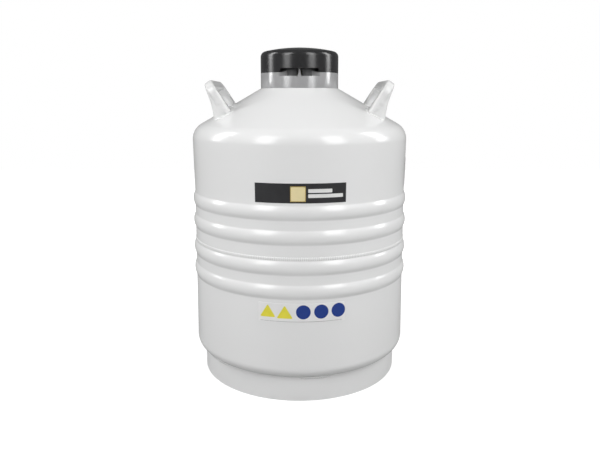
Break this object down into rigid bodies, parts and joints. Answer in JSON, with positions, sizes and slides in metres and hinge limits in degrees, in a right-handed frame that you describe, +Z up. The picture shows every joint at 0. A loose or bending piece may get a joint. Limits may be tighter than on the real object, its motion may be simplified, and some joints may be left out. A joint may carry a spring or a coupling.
{
  "type": "liquid nitrogen dewar",
  "caption": "Narrow-necked aluminium vacuum flask with pressed ribs, foot ring, two shoulder handles, grey collar and black lift-off lid on a long foam plug.",
  "frame": {"origin": "on the floor under the vessel's axis, at the centre of the foot ring's underside", "axes": "+Z up along the neck's axis, -Y towards the front label and padlock recess, handles on +X and -X"},
  "size_m": [0.394, 0.394, 0.5905],
  "materials": {
    "shell_paint": "satin grey-white powder coat on spun aluminium",
    "handle_paint": "satin grey-white powder coat on cast aluminium",
    "bare_aluminium": "bare spun or machined aluminium",
    "glass_fibre": "translucent green-yellow glass-fibre laminate",
    "collar_grey": "satin light grey moulding with a metallic look",
    "liner_dark": "dark grey moulding",
    "screw_steel": "stainless steel",
    "lid_black": "black moulding with a fine satin grain",
    "disc_white": "white sheet plastic",
    "foam_cream": null,
    "plug_foam": null,
    "foil": "crinkled reflective foil and spacer paper in many layers, mostly empty space",
    "sieve": "beige molecular sieve beads",
    "ring_rubber": "black rubber",
    "cap_black": "black moulding",
    "label_black": "black vinyl film",
    "label_white": "white vinyl film"
  },
  "bodies": {
    "vessel": {"outer_shell_upper": "shell_paint", "outer_shell_lower": "shell_paint", "girth_weld": "shell_paint", "foot_ring": "shell_paint", "foot_welds": "shell_paint", "handle_right": "handle_paint", "handle_left": "handle_paint", "handle_weld_right": "handle_paint", "handle_weld_left": "handle_paint", "neck_hub": "bare_aluminium", "neck_tube": "glass_fibre", "neck_collar": "collar_grey", "collar_liner": "liner_dark", "lock_lug": "collar_grey", "collar_screws": "screw_steel", "inner_vessel_upper": "bare_aluminium", "inner_vessel_lower": "bare_aluminium", "inner_vessel_weld": "bare_aluminium", "inner_neck_ring": "bare_aluminium", "insulation_blanket": "foil", "adsorbent_tray": "bare_aluminium", "adsorbent_charge": "sieve", "getter_capsule": "bare_aluminium", "vacuum_port_tube": "bare_aluminium", "front_label": "label_black", "safety_label": "label_white", "side_label": "label_black"},
    "lid": {"lid_shell": "lid_black", "lid_disc": "disc_white", "lid_foam": "foam_cream", "neck_plug": "plug_foam", "plug_rod": "glass_fibre", "plug_washer": "glass_fibre", "plug_nuts": "screw_steel"},
    "port_plug": {"vacuum_plug": "bare_aluminium", "vacuum_plug_rings": "ring_rubber"},
    "port_cap": {"vacuum_cap": "cap_black"}
  },
  "joints": [
    {"name": "lid_lift", "type": "slide", "parent": "vessel", "child": "lid", "axis": [0, 0, 1], "range_m": [0, 0.2]},
    {"name": "port_cap_pull", "type": "slide", "parent": "vessel", "child": "port_cap", "axis": [0, 0.5015, 0.8652], "range_m": [0, 0.04]},
    {"name": "port_plug_relief", "type": "slide", "parent": "vessel", "child": "port_plug", "axis": [0, 0.5015, 0.8652], "range_m": [0, 0.008]}
  ]
}
